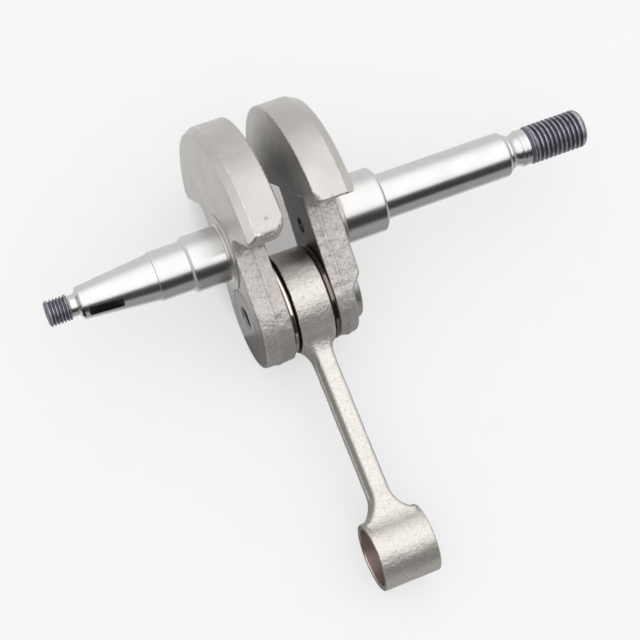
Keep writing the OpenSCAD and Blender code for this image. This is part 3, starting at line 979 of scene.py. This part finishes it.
def rod_steel():
    """Warm shot-blasted steel, with ground eye faces and bores, and painted shade on the shank's
    grooved sides.
    """
    n = Nodes("rod_steel")
    ground = n.painted("ground")
    cloud = n.noise(90, 4, 0.6)
    grain = n.noise(1300, 4, 0.7)
    pits = n.span(n.cells(1000), 0.0, 0.35)
    skin = n.mix(n.span(grain, 0.3, 0.7), (0.50, 0.47, 0.435), (0.68, 0.652, 0.615))
    skin = n.mix(n.span(cloud, 0.4, 0.75), skin, n.mix(pits, (0.38, 0.345, 0.315), skin))
    rings = n.noise(1.0, 2, 0.5, n.stretched((4000, 200, 200)))
    band = n.mix(n.span(rings, 0.3, 0.7), (0.23, 0.215, 0.20), (0.33, 0.31, 0.292))
    band = n.mix(n.painted("bore"), band, (0.60, 0.51, 0.47))
    # Painted shade: the shank's grooved sides are darkened
    skin = n.mix(n.painted("flank"), skin, n.mix(0.3, skin, (0.08, 0.07, 0.065)))
    color = n.mix(ground, skin, band)
    roughness = n.span(ground, 0, 1, 0.38, 0.34)
    rough_skin = n.math("ADD", grain, n.math("MULTIPLY", pits, 0.35))
    height = n.math("MULTIPLY", rough_skin, n.math("SUBTRACT", 1.0, ground))
    metal = n.span(ground, 0, 1, 0.85, 1.0)
    return n.finish(color, roughness, metal, n.bump(height, 0.7, 0.00024))


def floor_paper(own_light=0.60):
    """White card on a light table: most of its brightness is its own. It is
    darker in an oval under the crank, where the shade is deep."""
    n = Nodes("floor_card")
    grain = n.noise(400, 2)
    split = n.add("ShaderNodeSeparateXYZ")
    n.link(n.add("ShaderNodeNewGeometry").outputs["Position"], split.inputs[0])
    squares = []
    for axis, centre, radius in (("X", -0.018, 0.016), ("Y", 0.005, 0.03)):
        off = n.math("DIVIDE", n.math("SUBTRACT", split.outputs[axis], centre), radius)
        squares.append(n.math("MULTIPLY", off, off))
    shade = n.span(n.math("SQRT", n.math("ADD", *squares)), 1.3, 0.7)
    card = n.mix(grain, (0.22, 0.22, 0.22), (0.23, 0.23, 0.23))
    n.shader.inputs["Emission Color"].default_value = (1, 1, 1, 1)
    n.link(n.span(shade, 0, 1, own_light, 0.6 * own_light), n.shader.inputs["Emission Strength"])
    return n.finish(n.mix(shade, card, (0.12, 0.105, 0.085)), 1.0, 0.0)


# ---- Studio --------------------------------------------------------------

def stage_card(name, size, location, tilt, material, reflected_only=False):
    """Flat card that isn't part of the object, tilted about X."""
    bpy.ops.mesh.primitive_plane_add(size=1, location=location, rotation=(tilt, 0, 0))
    card = bpy.context.object
    card.name = name
    card.scale = (*size, 1)
    card.data.materials.append(material)
    if reflected_only:
        card.visible_camera = False
        card.visible_diffuse = False
        card.visible_shadow = False


def matt(name, grey):
    """Plain matt grey."""
    return Nodes(name).finish((grey, grey, grey), 1.0, 0.0)


def sky():
    """Soft light from all round, which is stronger from above."""
    world = bpy.data.worlds.new("soft_sky")
    world.use_nodes = True
    tree = world.node_tree
    place = tree.nodes.new("ShaderNodeTexCoord")
    split = tree.nodes.new("ShaderNodeSeparateXYZ")
    ramp = tree.nodes.new("ShaderNodeMapRange")
    ramp.interpolation_type = "SMOOTHSTEP"
    for key, value in (("From Min", 0.25), ("From Max", 0.95), ("To Min", 0.95), ("To Max", 1.75)):
        ramp.inputs[key].default_value = value
    tree.links.new(place.outputs["Generated"], split.inputs[0])
    tree.links.new(split.outputs["Z"], ramp.inputs["Value"])
    background = tree.nodes["Background"]
    background.inputs["Color"].default_value = (1, 1, 1, 1)
    tree.links.new(ramp.outputs["Result"], background.inputs["Strength"])
    return world


def studio():
    """Pale floor, a soft sky, and two cards that only reflections see: a dark
    one that leans away in front of the rod, and a grey one on the floor."""
    stage_card("floor", (3, 3), (0, 0, BENCH), 0, floor_paper())
    depth, height = 0.18, 0.26
    stage_card("dark_card", (1.6, math.hypot(depth, height)), (0, -0.33, BENCH + height / 2),
               math.atan2(height, depth), matt("dark_card", 0.01), reflected_only=True)
    stage_card("grey_apron", (1.6, 0.5), (0, -0.27, BENCH + 0.0004), 0,
               matt("grey_apron", 0.32), reflected_only=True)
    bpy.context.scene.world = sky()
    bpy.context.scene.view_settings.view_transform = "Standard"


def camera():
    """The viewpoint: above the big end, looking down along the rod."""
    data = bpy.data.cameras.new("camera")
    data.sensor_width = 36
    data.lens = 98.4375
    obj = bpy.data.objects.new("camera", data)
    obj.location = (-0.12789, -0.14397, 0.48287)
    obj.rotation_euler = [math.radians(a) for a in (17.023, -6.8961, -22.6154)]
    bpy.context.scene.collection.objects.link(obj)
    bpy.context.scene.camera = obj


# ---- Assembly ------------------------------------------------------------

def make_webs(forged):
    """Both forged webs."""
    for web in (FLY_WEB, PTO_WEB):
        obj = make_web(web, [forged])
        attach(obj, "crank")


def make_shafts(steels):
    """Both turned shafts, in ground, thread, slot and forged steel."""
    for shaft, node, thread, journal_r in (
            (fly_shaft(steels), "flywheel_half", FLY_THREAD, FLY_JOURNAL_R),
            (pto_shaft(steels), "pto_half", PTO_THREAD, PTO_JOURNAL_R)):
        finish_shaft(shaft, thread, journal_r)
        paint_crest(shaft, thread)
        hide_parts(node)
        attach(shaft, "crank")


def dress(node, material):
    """Gives a CAD node its material."""
    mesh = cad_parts[node].data
    mesh.materials.clear()
    mesh.materials.append(material)


def dress_bearing():
    """Steels of the pin, the cage, the needles and the two washers."""
    dress("crank_pin", ground_steel("pin_steel", (0.27, 0.258, 0.255), 0.36))
    dress("needle_cage", ground_steel("cage_steel", (0.34, 0.26, 0.20), 0.38))
    needle_steel = ground_steel("needle_steel", (0.75, 0.74, 0.72), 0.12)
    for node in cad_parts:
        if node.startswith("needle_") and node != "needle_cage":
            dress(node, needle_steel)
    for node, bright, edge, half in (
            ("thrust_washer_flywheel", (0.70, 0.66, 0.61), (0.15, 0.095, 0.07), 0.24),
            ("thrust_washer_pto", (0.20, 0.17, 0.155), (0.07, 0.055, 0.05), 0.3)):
        dress(node, washer_steel(node, bright, edge, half))


def build():
    """The whole crankshaft."""
    ground = ground_steel("ground_shaft", (0.60, 0.594, 0.588), 0.25)
    forged = web_steel()
    steels = [ground, thread_steel(), slot_shade_steel(), forged]
    make_webs(forged)
    make_shafts(steels)
    rod = make_rod([rod_steel()])
    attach(rod, "rod")
    dress_bearing()


camera()
build()
studio()
